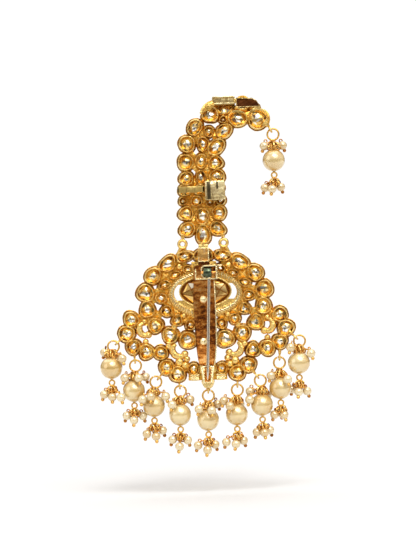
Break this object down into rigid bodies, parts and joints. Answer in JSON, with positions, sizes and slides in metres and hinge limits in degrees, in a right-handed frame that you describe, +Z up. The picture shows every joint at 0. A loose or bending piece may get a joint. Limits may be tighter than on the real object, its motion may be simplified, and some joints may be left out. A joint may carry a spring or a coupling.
{
  "type": "turban brooch",
  "caption": "Gold openwork turban brooch with a fan-shaped plate, a plume curled to one side, a fringe of pearl drops, and a hinged pin with its catch on the back.",
  "frame": {"origin": "the middle of the pin's needle, where it goes through the cloth of the turban", "axes": "+Z up along the plume, +X to the right as the back is looked at, -Y out of the back towards the turban, +Y out of the front"},
  "size_m": [0.078, 0.0161, 0.1298],
  "materials": {
    "gold": "gold plate on cast openwork",
    "bright_gold": "pale polished gold plate",
    "mirror_gold": "mirror-polished gold plate with a brown reflection",
    "steel": "plated steel wire",
    "pearl": "imitation pearl lustre",
    "stone": "foiled rose-cut stone"
  },
  "bodies": {
    "brooch": {"plate_frame": "gold", "plume_frame": "gold", "centre_stone": "stone", "neck_bracket": "bright_gold", "prong_plate": "mirror_gold", "rivet_upper": "bright_gold", "rivet_lower": "bright_gold", "hinge_housing": "bright_gold", "pin_catch": "bright_gold", "mid_tube": "bright_gold", "mid_strap": "bright_gold", "top_tube": "bright_gold", "top_strap": "bright_gold", "drop_1_hanger": "gold", "drop_1_pearl": "pearl", "drop_1_top_cluster": "pearl", "drop_1_low_cluster": "pearl", "drop_2_hanger": "gold", "drop_2_pearl": "pearl", "drop_2_top_cluster": "pearl", "drop_2_low_cluster": "pearl", "drop_3_hanger": "gold", "drop_3_pearl": "pearl", "drop_3_top_cluster": "pearl", "drop_3_low_cluster": "pearl", "drop_4_hanger": "gold", "drop_4_pearl": "pearl", "drop_4_top_cluster": "pearl", "drop_4_low_cluster": "pearl", "drop_5_hanger": "gold", "drop_5_pearl": "pearl", "drop_5_top_cluster": "pearl", "drop_5_low_cluster": "pearl", "drop_6_hanger": "gold", "drop_6_pearl": "pearl", "drop_6_top_cluster": "pearl", "drop_6_low_cluster": "pearl", "drop_7_hanger": "gold", "drop_7_pearl": "pearl", "drop_7_top_cluster": "pearl", "drop_7_low_cluster": "pearl", "drop_8_hanger": "gold", "drop_8_pearl": "pearl", "drop_8_top_cluster": "pearl", "drop_8_low_cluster": "pearl", "drop_9_hanger": "gold", "drop_9_pearl": "pearl", "drop_9_top_cluster": "pearl", "drop_9_low_cluster": "pearl"},
    "pin": {"pin_stem": "steel"},
    "tip_pendant": {"tip_drop_hanger": "gold", "tip_drop_pearl": "pearl", "tip_drop_top_cluster": "pearl", "tip_drop_low_cluster": "pearl"}
  },
  "joints": [
    {"name": "pin_hinge", "type": "hinge", "parent": "brooch", "child": "pin", "pos_m": [0.0006, 0.00025, 0.0205], "axis": [-1, 0, 0], "range_deg": [0, 90]},
    {"name": "tip_pendant_swing", "type": "hinge", "parent": "brooch", "child": "tip_pendant", "pos_m": [0.02508, 0.00565, 0.07113], "axis": [1, 0, 0], "range_deg": [-40, 40]}
  ]
}
